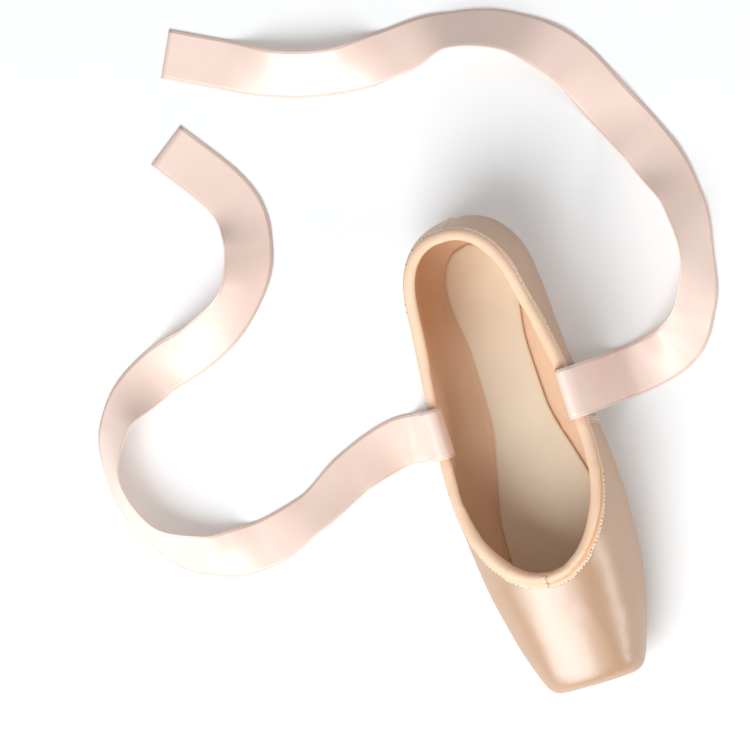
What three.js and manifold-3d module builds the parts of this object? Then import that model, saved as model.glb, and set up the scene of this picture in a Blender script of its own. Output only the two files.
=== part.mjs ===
// A pointe shoe: satin upper with a hardened toe box and a flat platform, drawstring binding round
// the collar, leather outsole, insole, and two satin ribbons sewn inside the quarters. It is made on a
// straight last, so either foot wears it.
//
// Millimetres, +Z up, the floor at z = 0. The toe points along -Y and the heel along +Y. The origin is on the
// floor, in the middle of the shoe. Tables and functions of the last give places by t, the distance
// behind the platform, so y = t - LENGTH / 2.

import * as THREE from 'three';
import { mergeVertices } from 'three/addons/utils/BufferGeometryUtils.js';
import Module from 'manifold-3d';

const wasm = await Module();
wasm.setup();

// ---- driving sizes -------------------------------------------------------------------------------

const LENGTH = 238; // platform to the back of the heel
const BALL_WIDTH = 81;
const THROAT = 60; // t of the front of the opening, so the length of the vamp in plan
const VAMP_HEIGHT = 54; // top of the upper at the throat
const HEEL_HEIGHT = 59; // top of the upper at the back
const GAP = 0.3; // left between pieces that touch
const SOLE_THICKNESS = 2;
const INSOLE_THICKNESS = 1.6;
const WALL = { quarter: 2, box: 3 };
const PLATFORM = { bottom: 10, top: 37, lean: 0.06, edgeRadius: 5 };
const SOLE = { tip: 19, heel: 218, tipRound: 30, heelRound: 19, margin: 6 };
const BINDING = { width: 7, cloth: 0.9, roll: 1.5 };
const RIBBON = { width: 25, thickness: 0.8, stepsPerRow: 3 };

const UNDERSIDE = SOLE_THICKNESS + GAP; // height of the upper's underside where the sole is flat

// ---- the last --------------------------------------------------------------------------------------

// Cross sections of the last. half: half width, as a share of the ball's; under: height of the underside;
// widest: height where it is widest; flat: half width of the flat underside; low, high: how square the
// section is below and above its widest.
const SECTIONS = [
  { t: 0, half: 0.57, under: PLATFORM.bottom, widest: 22, flat: 12, low: 2.3, high: 2.5 },
  { t: 10, half: 0.665, under: 6.9, widest: 20, flat: 15.5, low: 2.3, high: 2.4 },
  { t: 25, half: 0.785, under: 4.1, widest: 18.5, flat: 21.5, low: 2.3, high: 2.3 },
  { t: 45, half: 0.9, under: UNDERSIDE + 0.3, widest: 18, flat: 27.5, low: 2.3, high: 2.2 },
  { t: 65, half: 0.975, under: UNDERSIDE, widest: 18, flat: 30, low: 2.3, high: 2.2 },
  { t: 85, half: 1, under: UNDERSIDE, widest: 18, flat: 29.5, low: 2.3, high: 2.2 },
  { t: 110, half: 0.98, under: UNDERSIDE + 0.7, widest: 20.5, flat: 24, low: 2.2, high: 2.3 },
  { t: 140, half: 0.93, under: UNDERSIDE + 1.8, widest: 24, flat: 17.5, low: 2.1, high: 2.4 },
  { t: 170, half: 0.865, under: UNDERSIDE + 1.4, widest: 24, flat: 17, low: 2.1, high: 2.3 },
  { t: 198, half: 0.815, under: UNDERSIDE, widest: 21, flat: 20, low: 2.2, high: 2.2 },
  { t: LENGTH, half: 0.79, under: UNDERSIDE, widest: 21, flat: 20, low: 2.2, high: 2.2 },
].map((row) => ({ ...row, half: row.half * BALL_WIDTH / 2 }));

// The vamp's ridge line, in front of the throat.
const RIDGE = [
  { t: 0, z: PLATFORM.top },
  { t: 20, z: PLATFORM.top + 0.36 * (VAMP_HEIGHT - PLATFORM.top) },
  { t: 40, z: PLATFORM.top + 0.7 * (VAMP_HEIGHT - PLATFORM.top) },
  { t: THROAT, z: VAMP_HEIGHT },
];

// The edge of the opening: its height, and its half width behind the throat's oval.
const OVAL_END = 111;
const COLLAR = [
  { t: THROAT, z: VAMP_HEIGHT, half: 0 },
  { t: 80, z: 51.5, half: 0 },
  { t: 96, z: 48, half: 0 },
  { t: OVAL_END, z: 45.4, half: 36.2 },
  { t: 126, z: 43.4, half: 36.3 },
  { t: 148, z: 42.7, half: 34.8 },
  { t: 172, z: 44.9, half: 31.2 },
  { t: 198, z: 51, half: 27 },
  { t: 218, z: 56.5, half: 24.8 },
  { t: LENGTH, z: HEEL_HEIGHT + 1, half: 23.5 },
];

const HEEL = { centre: 198, lean: 7, bulge: 21, round: 18, square: 2.3 };

const SOLE_HALVES = [
  { t: SOLE.tip, half: 21 },
  { t: 40, half: 26 },
  { t: 62, half: 28.4 },
  { t: 85, half: 26.6 },
  { t: 110, half: 20.5 },
  { t: 135, half: 15.6 },
  { t: 160, half: 14 },
  { t: 185, half: 15.8 },
  { t: SOLE.heel, half: 18.5 },
];

// A smooth function through a table's rows, with no overshoot between them.
function smooth(rows, column) {
  const slopes = rows.map((row, i) => {
    const before = rows[i - 1];
    const after = rows[i + 1];
    if (!before || !after) return 0;
    const left = (row[column] - before[column]) / (row.t - before.t);
    const right = (after[column] - row[column]) / (after.t - row.t);
    return left * right <= 0 ? 0 : (2 * left * right) / (left + right);
  });
  const ends = [[0, 1], [rows.length - 1, rows.length - 2]];
  for (const [end, next] of ends) {
    const chord = (rows[next][column] - rows[end][column]) / (rows[next].t - rows[end].t);
    slopes[end] = 1.5 * chord - 0.5 * slopes[next];
  }
  return (t) => {
    const at = THREE.MathUtils.clamp(t, rows[0].t, rows[rows.length - 1].t);
    const i = Math.min(Math.max(rows.findIndex((row) => row.t >= at), 1), rows.length - 1);
    const a = rows[i - 1];
    const b = rows[i];
    const width = b.t - a.t;
    const s = (at - a.t) / width;
    return a[column] * (1 + 2 * s) * (1 - s) ** 2 + slopes[i - 1] * width * s * (1 - s) ** 2
      + b[column] * s * s * (3 - 2 * s) + slopes[i] * width * s * s * (s - 1);
  };
}

// Falls from 1 at 0 to 0 at 1, as a rounded end does.
const rounded = (share, square = 2) =>
  (1 - THREE.MathUtils.clamp(share, 0, 1) ** square) ** (1 / square);

const section = Object.fromEntries(
  ['half', 'under', 'widest', 'flat', 'low', 'high'].map((name) => [name, smooth(SECTIONS, name)]));
const ridge = smooth(RIDGE, 'z');
const collarHeight = smooth(COLLAR, 'z');
const collarSide = smooth(COLLAR.slice(3), 'half');

// Half width of the opening, in plan.
function collarHalf(t) {
  if (t <= THROAT) return 0;
  return t < OVAL_END ? collarSide(OVAL_END) * rounded((OVAL_END - t) / (OVAL_END - THROAT))
    : collarSide(t);
}

// Height of the last's top: the vamp's ridge, and behind it whatever takes the section through the collar.
function crown(t) {
  if (t <= THROAT) return ridge(t);
  const widest = section.widest(t);
  const share = rounded(collarHalf(t) / section.half(t), section.high(t));
  return widest + (collarHeight(t) - widest) / share;
}

// t of the back of the heel at a height.
function heelBack(z) {
  if (z > HEEL.bulge) return LENGTH - HEEL.lean * ((z - HEEL.bulge) / (HEEL_HEIGHT - HEEL.bulge)) ** 1.8;
  const drop = (HEEL.bulge - z) / (HEEL.bulge - UNDERSIDE + 0.8);
  return LENGTH - HEEL.round * (1 - rounded(drop));
}

// Half width of the last at a height, or -1 outside it.
function halfAt(t, z) {
  const behindPlatform = t - PLATFORM.lean * (z - PLATFORM.bottom);
  if (behindPlatform < 0) return -1;
  const { edgeRadius } = PLATFORM;
  const inset = behindPlatform < edgeRadius
    ? edgeRadius * (1 - rounded(1 - behindPlatform / edgeRadius)) : 0;
  const half = section.half(t) - inset;
  const under = section.under(t) + inset;
  const top = crown(t) - inset;
  if (z < under || z > top) return -1;
  const widest = section.widest(t);
  let share;
  if (z < widest) {
    const flat = Math.min(section.flat(t) / section.half(t), 0.95);
    const depth = (widest - under) / rounded(flat, section.low(t));
    share = rounded((widest - z) / depth, section.low(t));
  } else {
    share = rounded((z - widest) / (top - widest), section.high(t));
  }
  const end = t < HEEL.centre ? 1
    : rounded((t - HEEL.centre) / (heelBack(z) - HEEL.centre), HEEL.square);
  return half * share * end;
}

// ---- ribs of the upper -------------------------------------------------------------------------------

// A rib is the upper's outline in an upright half plane that starts on the shoe's middle line. The planes
// stand square to that line along the sides and fan out round its two ends.
const FAN = { front: 92, back: HEEL.centre };
const RIB = { centre: 21, reach: 170, samples: 220, count: 72, turnLength: 10 };

// Points along half of the plan outline, from the middle of the toe to the middle of the heel, closer
// together at the bends.
function planOutline(count) {
  const points = [new THREE.Vector2(0, 0)];
  const fine = 600;
  for (let i = 0; i <= fine; i++) {
    const t = LENGTH * (1 - Math.cos(Math.PI * i / fine)) / 2;
    const widest = section.widest(t);
    const half = halfAt(t + PLATFORM.lean * (widest - PLATFORM.bottom), widest);
    points.push(new THREE.Vector2(Math.max(half, 0), t));
  }
  const { effort } = travel(points, RIB.turnLength);
  const whole = effort[effort.length - 1];
  return Array.from({ length: count }, (_, i) => pointAt(points, effort, whole * i / (count - 1)));
}

// For each point of a line, its distance along the line, and the same with the line's turns added as length.
function travel(points, turnLength) {
  const along = [0];
  const effort = [0];
  for (let i = 1; i < points.length; i++) {
    const step = points[i].clone().sub(points[i - 1]);
    const next = i + 1 < points.length ? points[i + 1].clone().sub(points[i]) : step;
    const cosine = step.dot(next) / (step.length() * next.length() || 1);
    const turn = Math.acos(THREE.MathUtils.clamp(cosine, -1, 1));
    along.push(along[i - 1] + step.length());
    effort.push(effort[i - 1] + step.length() + turnLength * Math.min(turn || 0, 0.5));
  }
  return { along, effort };
}

// The point of a line where a measure that grows from point to point has the value at.
function pointAt(points, measure, at) {
  let i = 1;
  while (i < points.length - 1 && measure[i] < at) i++;
  const share = (at - measure[i - 1]) / Math.max(measure[i] - measure[i - 1], 1e-9);
  return points[i - 1].clone().lerp(points[i], THREE.MathUtils.clamp(share, 0, 1));
}

const soleSide = smooth(SOLE_HALVES, 'half');

// Half width of the outsole in plan, drawn in by inset all round.
function soleHalf(t, inset = 0) {
  const toTip = (SOLE.tip + SOLE.tipRound - t) / (SOLE.tipRound - inset);
  const toHeel = (t - SOLE.heel + SOLE.heelRound) / (SOLE.heelRound - inset);
  return (soleSide(t) - inset) * rounded(Math.max(toTip, 0), 2.1) * rounded(Math.max(toHeel, 0), 2.1);
}

// The largest number from low to high for which a test still holds.
function limit(low, high, holds) {
  for (let i = 0; i < 30; i++) {
    const middle = (low + high) / 2;
    if (holds(middle)) low = middle;
    else high = middle;
  }
  return low;
}

// One rib, as points from the collar down to the edge that the sole holds.
function rib(outlinePoint) {
  const base = THREE.MathUtils.clamp(outlinePoint.y, FAN.front, FAN.back);
  const way = new THREE.Vector2(outlinePoint.x, outlinePoint.y - base).normalize();
  const place = (out, z) => new THREE.Vector3(way.x * out, base + way.y * out, z);
  const inside = (p) => p.x < halfAt(p.y, p.z) || (p.x < 1e-6 && halfAt(p.y, p.z) > 0);
  const onRay = (angle, far) => place(far * Math.cos(angle), RIB.centre + far * Math.sin(angle));
  const surface = (angle) => onRay(angle, limit(0, RIB.reach, (far) => inside(onRay(angle, far))));
  const underCollar = (p) =>
    p.z <= (p.y < THROAT ? VAMP_HEIGHT + 2 * (THROAT - p.y) : collarHeight(p.y));
  const top = limit(0, Math.PI / 2, (angle) => underCollar(surface(angle)));
  const heldBySole = (p) => p.y > SOLE.tip + SOLE.margin && p.y < SOLE.heel - SOLE.margin
    && p.x <= Math.max(soleHalf(p.y, SOLE.margin), 1e-6);
  const edge = limit(0, RIB.reach, (out) => heldBySole(place(out, 0)));
  const bottom = Math.atan2(section.under(place(edge, 0).y) - RIB.centre, edge);
  return Array.from({ length: RIB.samples }, (_, i) =>
    surface(top + (bottom - top) * i / (RIB.samples - 1)));
}

// The distances below the collar at which the binding and the upper both have a row of points.
const TOP_ROWS = [0, BINDING.width / 2, BINDING.width + 1];
const LOWER_ROWS = 14;

// A rib's rows: those at the collar, and below them more where the rib bends.
function ribRows(points) {
  const { along, effort } = travel(points, RIB.turnLength);
  const rows = TOP_ROWS.map((distance) => pointAt(points, along, distance));
  const first = along.findIndex((distance) => distance >= TOP_ROWS[TOP_ROWS.length - 1]);
  const start = effort[first];
  const step = (effort[effort.length - 1] - start) / LOWER_ROWS;
  for (let i = 1; i <= LOWER_ROWS; i++) rows.push(pointAt(points, effort, start + step * i));
  return rows;
}

const mirrored = (p) => new THREE.Vector3(-p.x, p.y, p.z);

// The upper's outer surface: grid[rib][row], the ribs going round from the toe by +X to the heel and back.
const halfGrid = planOutline(RIB.count / 2 + 1).map((point) => ribRows(rib(point)));
const grid = [...halfGrid, ...halfGrid.slice(1, -1).reverse().map((rows) => rows.map(mirrored))];

// The wall thins from the hardened box to the quarters between the throat and THIN_FROM.
const THIN_FROM = 105;
const wallAt = (t) =>
  THREE.MathUtils.lerp(WALL.box, WALL.quarter, THREE.MathUtils.smoothstep(t, THROAT, THIN_FROM));

// The outward normal at a grid point.
function normalAt(i, j) {
  const count = grid.length;
  const last = grid[0].length - 1;
  const round = grid[(i + 1) % count][j].clone().sub(grid[(i + count - 1) % count][j]);
  const down = grid[i][Math.min(j + 1, last)].clone().sub(grid[i][Math.max(j - 1, 0)]);
  return round.cross(down).normalize().negate();
}

const normals = grid.map((rows, i) => rows.map((_, j) => normalAt(i, j)));

// ---- geometry helpers ------------------------------------------------------------------------------------

// A closed geometry from rings of points, each ring the same closed section, joined one to the next and
// round. Each four-sided face is split along a diagonal, the other one from the ring's point turnedFrom on.
function ringGeometry(rings, closed, turnedFrom = Infinity) {
  const positions = rings.flat().flatMap((p) => [p.x, p.y - LENGTH / 2, p.z]);
  const size = rings[0].length;
  const faces = [];
  for (let i = 0; i < rings.length - (closed ? 0 : 1); i++) {
    const next = (i + 1) % rings.length;
    for (let j = 0; j < size; j++) {
      const [a, b] = [i * size + j, i * size + (j + 1) % size];
      const [d, c] = [next * size + j, next * size + (j + 1) % size];
      if (j < turnedFrom) faces.push(a, b, c, a, c, d);
      else faces.push(a, b, d, b, c, d);
    }
  }
  if (!closed) {
    const end = (rings.length - 1) * size;
    for (let j = 1; j < size - 1; j++) faces.push(0, j + 1, j, end, end + j, end + j + 1);
  }
  return cleaned(positions, faces);
}

// Merged, without faces that have shrunk to a line, and facing out.
function cleaned(positions, faces) {
  const raw = new THREE.BufferGeometry();
  raw.setAttribute('position', new THREE.Float32BufferAttribute(positions, 3));
  raw.setIndex(faces);
  const merged = mergeVertices(raw, 1e-3);
  const index = merged.index.array;
  const kept = [];
  for (let i = 0; i < index.length; i += 3) {
    const [a, b, c] = [index[i], index[i + 1], index[i + 2]];
    if (a !== b && b !== c && c !== a) kept.push(a, b, c);
  }
  if (signedVolume(merged.attributes.position, kept) < 0) kept.reverse();
  merged.setIndex(kept);
  merged.computeVertexNormals();
  return merged;
}

function signedVolume(position, index) {
  const [a, b, c] = [new THREE.Vector3(), new THREE.Vector3(), new THREE.Vector3()];
  let volume = 0;
  for (let i = 0; i < index.length; i += 3) {
    a.fromBufferAttribute(position, index[i]);
    b.fromBufferAttribute(position, index[i + 1]);
    c.fromBufferAttribute(position, index[i + 2]);
    volume += a.dot(b.cross(c)) / 6;
  }
  return volume;
}

// A plate that follows the underside of the last: from low to high above it, in the given half widths.
function plateGeometry(stations, half, low, high) {
  const rings = stations.map((t) => {
    const x = half(t);
    const bottom = section.under(t) + low(t);
    const top = section.under(t) + high(t);
    return [[-x, bottom], [x, bottom], [x, top], [-x, top]].map(([px, z]) => new THREE.Vector3(px, t, z));
  });
  return ringGeometry(rings, false);
}

// Stations between two ends, closer together near them.
function stationsBetween(start, end, count) {
  return Array.from({ length: count + 1 }, (_, i) => {
    const even = i / count;
    const crowded = (1 - Math.cos(Math.PI * even)) / 2;
    return start + (end - start) * (0.35 * even + 0.65 * crowded);
  });
}

function joined(...geometries) {
  const solids = geometries.map((geometry) => {
    const bare = geometry.clone();
    bare.deleteAttribute('normal');
    return new wasm.Manifold(new wasm.Mesh({
      numProp: 3,
      vertProperties: bare.attributes.position.array,
      triVerts: new Uint32Array(bare.index.array),
    }));
  });
  const mesh = solids.reduce((all, solid) => all.add(solid)).getMesh();
  const geometry = new THREE.BufferGeometry();
  geometry.setAttribute('position', new THREE.BufferAttribute(mesh.vertProperties, 3));
  geometry.setIndex(new THREE.BufferAttribute(mesh.triVerts, 1));
  geometry.computeVertexNormals();
  return geometry;
}

// ---- the pieces ----------------------------------------------------------------------------------------

// The upper: outer surface and, a wall's thickness inside it, inner surface; open at the collar and over
// the sole.
function upperGeometry() {
  const rings = grid.map((rows, i) => {
    const inner = rows.map((p, j) => p.clone().addScaledVector(normals[i][j], -wallAt(p.y)));
    return [...rows, ...inner.reverse()];
  });
  return ringGeometry(rings, true);
}

// The binding: a doubled band folded over the collar's edge, with a roll on top that holds the drawstring.
function bindingGeometry() {
  const { cloth, roll, width } = BINDING;
  const last = TOP_ROWS.length - 1;
  const rings = grid.map((points, i) => {
    const up = points[0].clone().sub(points[1]).normalize();
    const wall = wallAt(points[0].y);
    const beside = (j, outward) => {
      const share = j === last ? (width - TOP_ROWS[j - 1]) / (TOP_ROWS[j] - TOP_ROWS[j - 1]) : 1;
      const p = j ? points[j - 1].clone().lerp(points[j], share) : points[0].clone();
      return p.addScaledVector(normals[i][j], outward);
    };
    const above = (rise, outward) =>
      points[0].clone().addScaledVector(up, rise).addScaledVector(normals[i][0], outward);
    const thick = (j) => (j === last ? 0.6 : 1.2) * cloth;
    return [
      ...[2, 1, 0].map((j) => beside(j, GAP + thick(j))),
      above(GAP + 0.9, GAP + cloth * 0.8),
      above(GAP + roll, -wall / 2 + 0.8),
      above(GAP + roll, -wall / 2 - 0.8),
      above(GAP + 0.9, -wall - GAP - cloth * 0.8),
      ...[0, 1, 2].map((j) => beside(j, -wall - GAP - thick(j))),
      ...[2, 1, 0].map((j) => beside(j, -wall - GAP)),
      above(GAP, -wall - GAP),
      above(GAP, GAP),
      ...[0, 1, 2].map((j) => beside(j, GAP)),
    ];
  });
  return ringGeometry(rings, true);
}

function outsoleGeometry() {
  return plateGeometry(stationsBetween(SOLE.tip, SOLE.heel, 48), soleHalf,
    () => -GAP - SOLE_THICKNESS, () => -GAP);
}

// The insole: a sheet over the upper's turned-in edge, and the filler that lies within that edge on the
// outsole.
const INSOLE = { tip: 9, heel: 224, inset: 3, fillerGap: 1 };

function insoleGeometry() {
  const half = (t) => (section.flat(t) - INSOLE.inset)
    * rounded((INSOLE.tip + 16 - t) / 16, 2.4)
    * rounded((t - INSOLE.heel + 24) / 24, 2.2);
  const fillerHalf = (t) => Math.max(soleHalf(t, SOLE.margin + INSOLE.fillerGap), 0);
  const sheet = plateGeometry(stationsBetween(INSOLE.tip, INSOLE.heel, 40), half,
    (t) => wallAt(t) + GAP, (t) => wallAt(t) + GAP + INSOLE_THICKNESS);
  const fillerInset = SOLE.margin + INSOLE.fillerGap;
  const filler = plateGeometry(
    stationsBetween(SOLE.tip + fillerInset, SOLE.heel - fillerInset, 36), fillerHalf,
    () => 0, (t) => wallAt(t) + GAP + INSOLE_THICKNESS / 2);
  return joined(sheet, filler);
}

// The ribbons' routes. Each row is a point of a ribbon's middle line. x, y: place in plan, y from the middle
// of the shoe; rise: height of the ribbon's lower edge; tilt: degrees that its left edge is raised from flat.
const OVER_THE_SIDE = [
  { x: 33, y: 21, rise: 26, tilt: 0 },
  { x: 32.4, y: 21, rise: 34, tilt: 0 },
  { x: 30.6, y: 21, rise: 41, tilt: 0 },
  { x: 31.4, y: 21, rise: 46, tilt: 0 },
  { x: 35.4, y: 21, rise: 47.4, tilt: 0 },
  { x: 39.6, y: 21, rise: 44.4, tilt: 0 },
  { x: 41.2, y: 21, rise: 36, tilt: 0 },
  { x: 42.4, y: 21, rise: 24, tilt: 0 },
  { x: 45.5, y: 21, rise: 10, tilt: 0 },
  { x: 53, y: 21.5, rise: 1.5, tilt: 0 },
];
const RIBBON_RIGHT = [
  ...OVER_THE_SIDE,
  { x: 66, y: 22.5, rise: 0, tilt: 4 },
  { x: 84, y: 27, rise: 0, tilt: 22 },
  { x: 99, y: 42, rise: 0, tilt: 46 },
  { x: 108, y: 66, rise: 0, tilt: 58 },
  { x: 109, y: 94, rise: 0, tilt: 44 },
  { x: 100, y: 122, rise: 0, tilt: 14 },
  { x: 87, y: 149, rise: 0, tilt: -2 },
  { x: 74, y: 176, rise: 0, tilt: 14 },
  { x: 53, y: 197, rise: 0, tilt: 40 },
  { x: 25, y: 207, rise: 0, tilt: 44 },
  { x: -6, y: 206, rise: 0, tilt: 8 },
  { x: -36, y: 206, rise: 0, tilt: -26 },
  { x: -65, y: 214, rise: 0, tilt: -22 },
  { x: -92, y: 228, rise: 0, tilt: 0 },
  { x: -118, y: 242, rise: 0, tilt: 0 },
];
const RIBBON_LEFT = [
  ...OVER_THE_SIDE.map((row) => ({ ...row, x: -row.x })),
  { x: -66, y: 22, rise: 0, tilt: 2 },
  { x: -90, y: 15, rise: 0, tilt: 18 },
  { x: -116, y: 2, rise: 0, tilt: 30 },
  { x: -146, y: -6, rise: 0, tilt: 6 },
  { x: -176, y: -2, rise: 0, tilt: -34 },
  { x: -199, y: 17, rise: 0, tilt: -58 },
  { x: -208, y: 46, rise: 0, tilt: -60 },
  { x: -199, y: 74, rise: 0, tilt: -40 },
  { x: -174, y: 91, rise: 0, tilt: -4 },
  { x: -144, y: 99, rise: 0, tilt: 26 },
  { x: -119, y: 113, rise: 0, tilt: 44 },
  { x: -106, y: 136, rise: 0, tilt: 30 },
  { x: -108, y: 163, rise: 0, tilt: 6 },
  { x: -132, y: 199, rise: 0, tilt: 0 },
];

// A ribbon along a route: a flat section that stays square to its middle line.
function ribbonGeometry(rows) {
  const halfWidth = RIBBON.width / 2;
  const halfThick = RIBBON.thickness / 2;
  const lift = (tilt) => halfWidth * Math.abs(Math.sin(tilt)) + halfThick + 0.05;
  const leans = rows.map((row) => THREE.MathUtils.degToRad(row.tilt));
  const curve = new THREE.CatmullRomCurve3(
    rows.map((row, i) => new THREE.Vector3(row.x, row.y, row.rise + lift(leans[i]))));
  const side = Math.sign(rows[0].x);
  const steps = RIBBON.stepsPerRow * (rows.length - 1);
  const rings = Array.from({ length: steps + 1 }, (_, i) => {
    const place = i / RIBBON.stepsPerRow;
    const row = Math.min(Math.floor(place), rows.length - 2);
    const share = THREE.MathUtils.smoothstep(place - row, 0, 1);
    const tilt = THREE.MathUtils.lerp(leans[row], leans[row + 1], share);
    const p = curve.getPoint(i / steps);
    const tangent = curve.getTangent(i / steps);
    p.z = Math.max(p.z, lift(tilt));
    const overTheSide = row < OVER_THE_SIDE.length - 1;
    const heading = overTheSide ? new THREE.Vector3(side, 0, 0) : tangent.clone().setZ(0).normalize();
    const across = new THREE.Vector3(-heading.y, heading.x, 0).multiplyScalar(Math.cos(tilt));
    across.z = Math.sin(tilt);
    across.addScaledVector(tangent, -across.dot(tangent)).normalize();
    const face = new THREE.Vector3().crossVectors(tangent, across);
    return [[-1, -1], [1, -1], [1, 1], [-1, 1]].map(([a, f]) => p.clone()
      .addScaledVector(across, a * halfWidth).addScaledVector(face, f * halfThick)
      .add(new THREE.Vector3(0, LENGTH / 2, 0)));
  });
  // the upper and the lower face bend along the same diagonals, so that they stay a thickness apart
  return ringGeometry(rings, false, 2);
}

const satin = new THREE.MeshStandardMaterial({ color: 0xf0d0a8, roughness: 0.35, metalness: 0 });
const cotton = new THREE.MeshStandardMaterial({ color: 0xf0c79c, roughness: 0.75, metalness: 0 });
const leather = new THREE.MeshStandardMaterial({ color: 0xc49a70, roughness: 0.8, metalness: 0 });
const lining = new THREE.MeshStandardMaterial({ color: 0xe9dccb, roughness: 0.9, metalness: 0 });

const ribbonSatin = new THREE.MeshStandardMaterial({ color: 0xf3d3c8, roughness: 0.3, metalness: 0 });

const shoe = new THREE.Group();

function add(name, geometry, material) {
  const mesh = new THREE.Mesh(geometry, material);
  mesh.name = name;
  shoe.add(mesh);
}

add('upper', upperGeometry(), satin);
add('collar_binding', bindingGeometry(), cotton);
add('outsole', outsoleGeometry(), leather);
add('insole', insoleGeometry(), lining);
add('ribbon_left', ribbonGeometry(RIBBON_LEFT), ribbonSatin);
add('ribbon_right', ribbonGeometry(RIBBON_RIGHT), ribbonSatin);

export default shoe;
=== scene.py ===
"""A satin pointe shoe with its two ribbons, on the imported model's frame."""

import math
from bisect import bisect_left

import bmesh
import bpy
from mathutils import Matrix, Vector, noise
from mathutils.bvhtree import BVHTree


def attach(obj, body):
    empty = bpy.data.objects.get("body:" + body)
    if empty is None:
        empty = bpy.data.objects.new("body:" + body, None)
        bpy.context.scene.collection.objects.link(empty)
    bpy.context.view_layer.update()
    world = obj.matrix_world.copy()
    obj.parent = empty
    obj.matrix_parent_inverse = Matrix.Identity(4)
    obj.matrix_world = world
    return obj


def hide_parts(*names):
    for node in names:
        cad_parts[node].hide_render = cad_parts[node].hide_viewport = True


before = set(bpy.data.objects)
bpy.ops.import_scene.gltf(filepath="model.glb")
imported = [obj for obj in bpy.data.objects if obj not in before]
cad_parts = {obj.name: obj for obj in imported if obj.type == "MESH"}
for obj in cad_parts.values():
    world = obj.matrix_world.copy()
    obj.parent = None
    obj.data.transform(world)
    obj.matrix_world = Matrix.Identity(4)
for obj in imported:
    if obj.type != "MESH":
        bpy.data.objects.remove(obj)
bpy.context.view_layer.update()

MM = 0.001
scene = bpy.context.scene

# ---- camera --------------------------------------------------------------------------------------

# The camera looks down on the shoe from over its side, so that the toe points to the lower right.
CAMERA = {
    "target": (0, -40, 30),
    "forward": (-0.213, -0.045, -0.976),
    "up": (0.287, 0.952, -0.106),
    "distance": 2000,
    "aside": (-0.04175, 0.0380),
    "lens": 197.97,
}


def add_camera():
    forward = Vector(CAMERA["forward"]).normalized()
    right = forward.cross(Vector(CAMERA["up"])).normalized()
    up = right.cross(forward)
    eye = (Vector(CAMERA["target"]) - forward * CAMERA["distance"]) * MM
    aside = CAMERA["aside"]
    look = (forward + right * aside[0] + up * aside[1]).normalized()
    right = look.cross(up).normalized()
    up = right.cross(look)
    camera = bpy.data.objects.new("camera", bpy.data.cameras.new("camera"))
    camera.data.lens = CAMERA["lens"]
    camera.data.clip_end = 50
    camera.matrix_world = Matrix.Translation(eye) @ Matrix((right, up, -look)).transposed().to_4x4()
    scene.collection.objects.link(camera)
    scene.camera = camera


add_camera()
scene.view_settings.view_transform = "Standard"

# ---- making pieces -------------------------------------------------------------------------------


def finished(bm, name, materials, replaces=(), smooth=True):
    """The bmesh as a piece that rides on the shoe."""
    mesh = bpy.data.meshes.new(name)
    bm.to_mesh(mesh)
    bm.free()
    if smooth:
        mesh.shade_smooth()
    for material in materials:
        mesh.materials.append(material)
    piece = bpy.data.objects.new(name, mesh)
    scene.collection.objects.link(piece)
    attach(piece, "root")
    if replaces:
        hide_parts(*replaces)
    return piece


def grid(along, across, place, bm=None):
    """A sheet of along x across faces, each corner where place(u, v) puts it, with u, v in its UV map."""
    if bm is None:
        bm = bmesh.new()
        bm.loops.layers.uv.new("along")
    made = bmesh.ops.create_grid(bm, x_segments=along, y_segments=across, size=0.5, calc_uvs=True)
    for vert in made["verts"]:
        vert.co = place(vert.co.x + 0.5, vert.co.y + 0.5)
    bm.normal_update()
    return bm


def closed(bm, gap=2e-6):
    """The sheets' meeting edges merged, and their faces turned out."""
    bmesh.ops.remove_doubles(bm, verts=bm.verts[:], dist=gap)
    bmesh.ops.dissolve_degenerate(bm, edges=bm.edges[:], dist=gap)
    # where two sheets meet in a corner, a point in the middle of each face keeps their triangles apart
    corners = {face for vert in bm.verts if len(vert.link_faces) == 2 for face in vert.link_faces}
    bmesh.ops.poke(bm, faces=sorted(corners, key=lambda face: face.index))
    bmesh.ops.recalc_face_normals(bm, faces=bm.faces[:])
    return bm


def lerp(a, b, share):
    return a + (b - a) * share


def smoothstep(low, high, value):
    share = min(max((value - low) / (high - low), 0), 1)
    return share * share * (3 - 2 * share)


def bump(value, middle, half_width):
    """A soft hump: 1 at middle, 0 at half_width from it."""
    share = abs(value - middle) / half_width
    return 0 if share >= 1 else (1 - share * share) ** 2


# ---- shader groups -------------------------------------------------------------------------------


def node_group(name, inputs, outputs):
    """An empty shader group with its sockets: inputs {name: default}, outputs {name: socket type}."""
    group = bpy.data.node_groups.new(name, "ShaderNodeTree")
    for socket, default in inputs.items():
        made = group.interface.new_socket(socket, in_out="INPUT", socket_type="NodeSocketFloat")
        made.default_value = default
    for socket, kind in outputs.items():
        group.interface.new_socket(socket, in_out="OUTPUT", socket_type=kind)
    return group, group.nodes.new("NodeGroupInput"), group.nodes.new("NodeGroupOutput")


def node(tree, kind, **settings):
    made = tree.nodes.new(kind)
    for key, value in settings.items():
        if key in made.bl_rna.properties:
            setattr(made, key, value)
        else:
            made.inputs[key.replace("_", " ")].default_value = value
    return made


def math_node(tree, operation, a, b=None, clamp=False):
    """A Math node's output, from sockets or numbers."""
    made = node(tree, "ShaderNodeMath", operation=operation, use_clamp=clamp)
    for place, value in enumerate((a, b)):
        if isinstance(value, (int, float)):
            made.inputs[place].default_value = value
        elif value is not None:
            tree.links.new(value, made.inputs[place])
    return made.outputs[0]


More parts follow.
